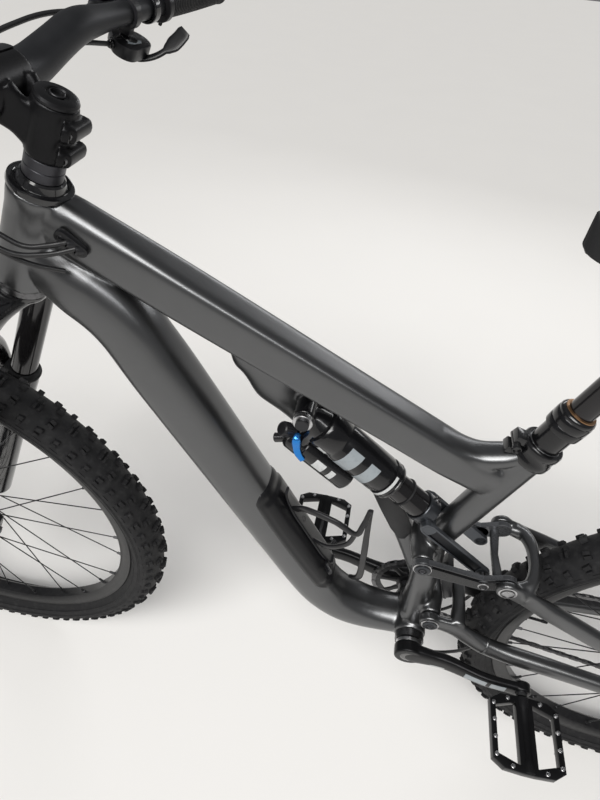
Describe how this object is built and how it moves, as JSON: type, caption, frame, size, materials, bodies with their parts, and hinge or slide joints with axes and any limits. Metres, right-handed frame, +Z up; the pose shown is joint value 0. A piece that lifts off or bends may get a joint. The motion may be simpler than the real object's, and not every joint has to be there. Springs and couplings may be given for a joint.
{
  "type": "mountain bike",
  "caption": "Full-suspension trail mountain bike with a single-sided shock brace, air shock and rocker, suspension fork, disc brakes and dropper post.",
  "frame": {"origin": "on the ground, under the middle of the bike's length and width", "axes": "+X forward, +Y to the rider's left, +Z up"},
  "size_m": [1.9864, 0.809, 1.0915],
  "materials": {
    "frame_metal": "satin metallic",
    "black_metal": "satin black anodised",
    "gloss_black": "gloss black",
    "stanchion_black": "polished dark anodised",
    "shock_black": "semi-gloss black",
    "lever_blue": "blue anodised",
    "control_black": "satin black",
    "black_plastic": "matte moulded",
    "grip_rubber": "matte ribbed",
    "saddle_cover": "matte cover",
    "rail_steel": "dark steel",
    "hose_black": "smooth",
    "tyre_rubber": "knobbed rubber",
    "spoke_steel": "black",
    "rotor_steel": "ground",
    "crank_black": "satin black",
    "drive_steel": "oiled steel"
  },
  "bodies": {
    "frame": {"head_tube": "frame_metal", "top_tube": "frame_metal", "down_tube": "frame_metal", "seat_tube": "frame_metal", "side_arm": "frame_metal", "bottom_bracket_shell": "frame_metal", "storage_door": "black_plastic", "bottle_cage": "black_plastic", "frame_bearings": "black_metal", "frame_pivot_bolts": "black_metal", "seat_collar": "black_metal", "dropper_outer_tube": "black_metal", "chain": "drive_steel"},
    "steering": {"fork_crown": "gloss_black", "fork_stanchions": "stanchion_black", "headset_spacers": "black_metal", "stem": "black_metal", "stem_faceplate": "black_metal", "handlebar": "black_metal", "handlebar_grips": "grip_rubber", "brake_bodies": "control_black", "trigger_housings": "control_black", "cable_housings": "hose_black"},
    "fork_lower": {"fork_lowers": "gloss_black", "front_axle": "black_metal", "front_caliper": "control_black"},
    "front_wheel": {"front_rim": "black_metal", "front_tyre": "tyre_rubber", "front_spokes": "spoke_steel", "front_rotor": "rotor_steel", "front_hub": "black_metal"},
    "rear_wheel": {"rear_rim": "black_metal", "rear_tyre": "tyre_rubber", "rear_spokes": "spoke_steel", "rear_rotor": "rotor_steel", "rear_hub": "black_metal"},
    "cassette": {"cassette": "drive_steel"},
    "crankset": {"crank_arms": "crank_black", "chainring": "crank_black", "pedal_axles": "drive_steel"},
    "pedal_left": {"pedal_left": "black_plastic"},
    "pedal_right": {"pedal_right": "black_plastic"},
    "seat": {"dropper_post": "stanchion_black", "saddle_rails": "rail_steel", "saddle": "saddle_cover"},
    "brake_lever_left": {"brake_lever_left": "control_black"},
    "brake_lever_right": {"brake_lever_right": "control_black"},
    "shifter_paddle": {"shifter_paddle": "black_plastic"},
    "dropper_paddle": {"dropper_paddle": "black_plastic"},
    "chainstay": {"chainstays": "frame_metal", "rear_housings": "hose_black"},
    "seatstay": {"seatstays": "frame_metal", "rear_axle": "black_metal", "rear_caliper": "control_black", "derailleur_body": "drive_steel"},
    "rocker": {"rocker_link": "black_metal"},
    "shock": {"shock_body": "shock_black"},
    "shock_shaft": {"shock_shaft": "shock_black"},
    "shock_lever": {"shock_lever": "lever_blue"},
    "derailleur_cage": {"derailleur_cage": "drive_steel"}
  },
  "joints": [
    {"name": "steering_turn", "type": "hinge", "parent": "frame", "child": "steering", "pos_m": [0.30495, 0, 0.9622], "axis": [-0.4123, 0, 0.911], "range_deg": [-60, 60], "deforming": ["cable_housings"]},
    {"name": "fork_travel", "type": "slide", "parent": "steering", "child": "fork_lower", "axis": [-0.4123, 0, 0.911], "range_m": [0, 0.15], "stiffness_N_per_m": 4000, "springref_m": -0.004, "deforming": ["cable_housings"]},
    {"name": "front_wheel_spin", "type": "hinge", "parent": "fork_lower", "child": "front_wheel", "pos_m": [0.6193, 0, 0.37432], "axis": [0, 1, 0], "continuous": true},
    {"name": "crank_spin", "type": "hinge", "parent": "frame", "child": "crankset", "pos_m": [-0.16905, 0, 0.338], "axis": [0, 1, 0], "continuous": true},
    {"name": "pedal_left_spin", "type": "hinge", "parent": "crankset", "child": "pedal_left", "pos_m": [-0.33902, 0.142, 0.33503], "axis": [0, 1, 0], "continuous": true},
    {"name": "pedal_right_spin", "type": "hinge", "parent": "crankset", "child": "pedal_right", "pos_m": [0.00092, -0.142, 0.34097], "axis": [0, 1, 0], "continuous": true},
    {"name": "dropper_travel", "type": "slide", "parent": "frame", "child": "seat", "axis": [-0.3092, 0, 0.951], "range_m": [-0.1, 0]},
    {"name": "brake_lever_left_pull", "type": "hinge", "parent": "steering", "child": "brake_lever_left", "pos_m": [0.33033, 0.262, 1.07671], "axis": [-0.4123, 0, 0.911], "range_deg": [0, 22], "stiffness_Nm_per_rad": 0.4, "springref_deg": -5.73},
    {"name": "brake_lever_right_pull", "type": "hinge", "parent": "steering", "child": "brake_lever_right", "pos_m": [0.33033, -0.262, 1.07671], "axis": [-0.4123, 0, 0.911], "range_deg": [-22, 0], "stiffness_Nm_per_rad": 0.4, "springref_deg": 5.73},
    {"name": "shifter_press", "type": "hinge", "parent": "steering", "child": "shifter_paddle", "pos_m": [0.30221, -0.2, 1.03388], "axis": [-0.4123, 0, 0.911], "range_deg": [0, 25], "stiffness_Nm_per_rad": 0.2, "springref_deg": -5.73},
    {"name": "dropper_remote_press", "type": "hinge", "parent": "steering", "child": "dropper_paddle", "pos_m": [0.30221, 0.2, 1.03388], "axis": [-0.4123, 0, 0.911], "range_deg": [-25, 0], "stiffness_Nm_per_rad": 0.2, "springref_deg": 5.73},
    {"name": "chainstay_swing", "type": "hinge", "parent": "frame", "child": "chainstay", "pos_m": [-0.18605, 0, 0.404], "axis": [0, 1, 0], "range_deg": [0, 20.59], "stiffness_Nm_per_rad": 250, "springref_deg": -1.15, "deforming": ["chain", "rear_housings"]},
    {"name": "seatstay_swing", "type": "hinge", "parent": "chainstay", "child": "seatstay", "pos_m": [-0.58705, 0, 0.358], "axis": [0, 1, 0], "range_deg": [-10.6, 0], "deforming": ["chain", "rear_housings"]},
    {"name": "rocker_swing", "type": "hinge", "parent": "frame", "child": "rocker", "pos_m": [-0.14305, 0, 0.545], "axis": [0, 1, 0], "range_deg": [0, 48.21]},
    {"name": "shock_swing", "type": "hinge", "parent": "frame", "child": "shock", "pos_m": [0.03795, 0, 0.743], "axis": [0, 1, 0], "range_deg": [0, 8.13]},
    {"name": "shock_travel", "type": "slide", "parent": "shock", "child": "shock_shaft", "axis": [0.7847, 0, 0.6199], "range_m": [0, 0.05038]},
    {"name": "shock_lever_turn", "type": "hinge", "parent": "shock", "child": "shock_lever", "pos_m": [0.04308, 0.017, 0.71392], "axis": [0, 1, 0], "range_deg": [-70, 0]},
    {"name": "rear_wheel_spin", "type": "hinge", "parent": "seatstay", "child": "rear_wheel", "pos_m": [-0.62135, 0, 0.372], "axis": [0, 1, 0], "continuous": true},
    {"name": "cassette_spin", "type": "hinge", "parent": "seatstay", "child": "cassette", "pos_m": [-0.62135, 0, 0.372], "axis": [0, 1, 0], "continuous": true},
    {"name": "derailleur_cage_swing", "type": "hinge", "parent": "seatstay", "child": "derailleur_cage", "pos_m": [-0.62105, -0.052, 0.302], "axis": [0, 1, 0], "range_deg": [-30, 30], "stiffness_Nm_per_rad": 0.6, "deforming": ["chain"]}
  ],
  "couplings": [
    {"joint": "seatstay_swing", "follows": "chainstay_swing", "ratio": -0.51399},
    {"joint": "rocker_swing", "follows": "chainstay_swing", "ratio": 2.3403},
    {"joint": "shock_swing", "follows": "chainstay_swing", "ratio": 0.39452},
    {"joint": "shock_travel", "follows": "chainstay_swing", "m_per_rad": 0.13988},
    {"joint": "cassette_spin", "follows": "crank_spin", "ratio": 1.5238}
  ]
}
